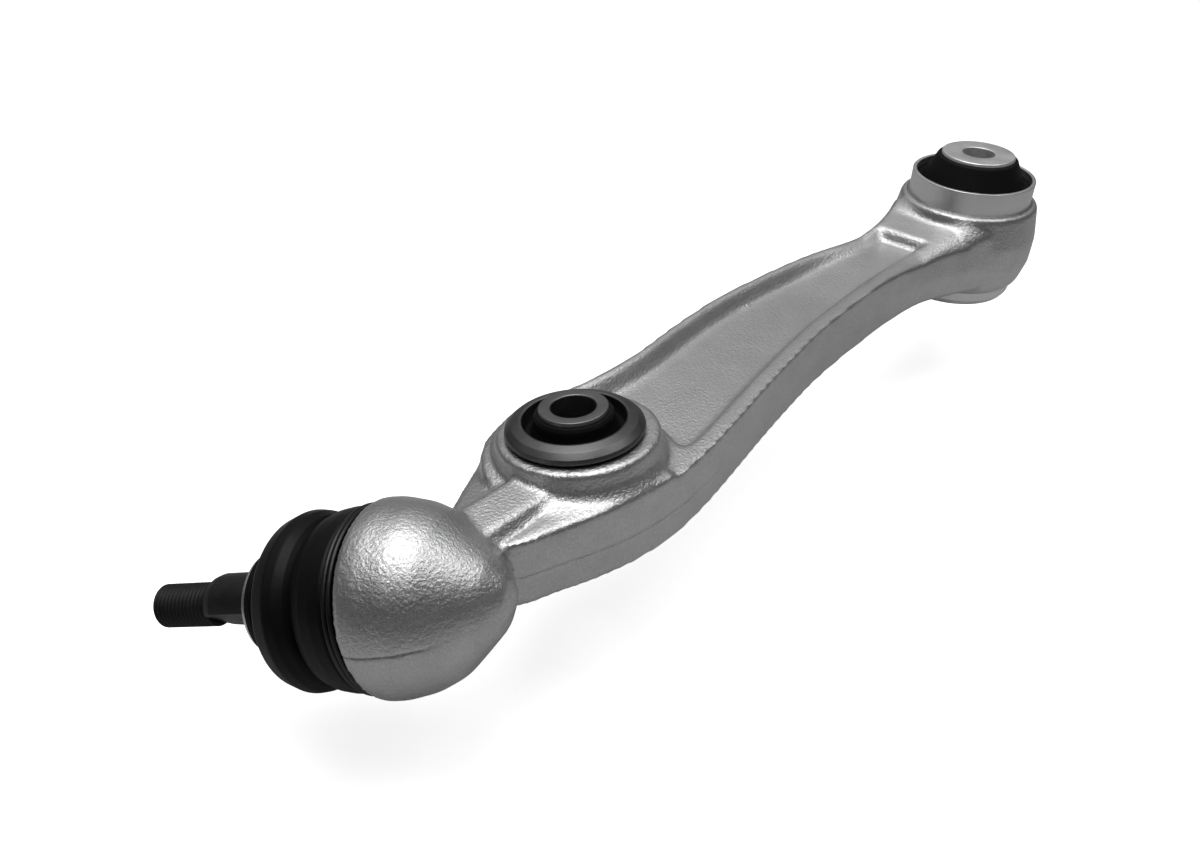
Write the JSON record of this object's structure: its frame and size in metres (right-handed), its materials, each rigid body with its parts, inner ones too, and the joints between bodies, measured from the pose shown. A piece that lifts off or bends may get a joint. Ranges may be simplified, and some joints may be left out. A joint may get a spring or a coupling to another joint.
{
  "type": "front lower control arm",
  "caption": "Forged light-alloy control arm with a sealed ball joint at one end, a strut bush near it and a large rubber bush at the other end.",
  "frame": {"origin": "on the axis of the chassis bush bore, on the forging's parting plane", "axes": "+Z along the chassis bush bore towards the side where its sleeve stands proud, +X outboard along the line to the ball centre, +Y completes a right-handed frame"},
  "size_m": [0.4233, 0.1167, 0.0818],
  "materials": {
    "forged_alloy": "shot-blasted forging",
    "sleeve_alloy": "turned",
    "core_alloy": "turned",
    "sleeve_steel": "phosphated",
    "bolt_sleeve_steel": "turned",
    "bush_rubber": "moulded",
    "boot_rubber": "moulded",
    "stud_steel": "black phosphated steel",
    "ring_steel": "zinc plated",
    "wire_steel": "blackened spring wire",
    "race_plastic": "acetal",
    "preload_elastomer": "elastomer",
    "closing_steel": "turned"
  },
  "bodies": {
    "arm": {"arm_forging": "forged_alloy", "race_preload_ring": "preload_elastomer", "closing_ring": "closing_steel", "boot": "boot_rubber", "boot_clamp_large": "wire_steel", "strut_bush_outer_sleeve": "sleeve_steel", "strut_bush_rubber": "bush_rubber", "chassis_bush_outer_sleeve": "sleeve_alloy", "chassis_bush_rubber": "bush_rubber"},
    "race": {"ball_race": "race_plastic"},
    "seal_seat": {"stud_seat_ring": "ring_steel", "boot_clamp_small": "wire_steel"},
    "stud": {"ball_stud": "stud_steel"},
    "strut_sleeve": {"strut_bush_inner_sleeve": "bolt_sleeve_steel"},
    "chassis_core": {"chassis_bush_inner_sleeve": "core_alloy"}
  },
  "joints": [
    {"name": "lean_direction", "type": "hinge", "parent": "arm", "child": "race", "pos_m": [0.343, 0, -0.0017], "axis": [0.4318, -0.8474, -0.309], "continuous": true},
    {"name": "stud_lean", "type": "hinge", "parent": "race", "child": "seal_seat", "pos_m": [0.343, 0, -0.0017], "axis": [0.891, 0.454, 0], "range_deg": [-20, 20], "deforming": ["boot"]},
    {"name": "stud_spin", "type": "hinge", "parent": "seal_seat", "child": "stud", "pos_m": [0.343, 0, -0.0017], "axis": [0.4318, -0.8474, -0.309], "continuous": true},
    {"name": "strut_bush_twist", "type": "hinge", "parent": "arm", "child": "strut_sleeve", "pos_m": [0.274, 0, 0], "axis": [0, -0.1167, 0.9932], "range_deg": [-15, 15], "stiffness_Nm_per_rad": 20},
    {"name": "chassis_bush_twist", "type": "hinge", "parent": "arm", "child": "chassis_core", "pos_m": [0, 0, 0], "axis": [0, 0, 1], "range_deg": [-20, 20], "stiffness_Nm_per_rad": 30}
  ]
}
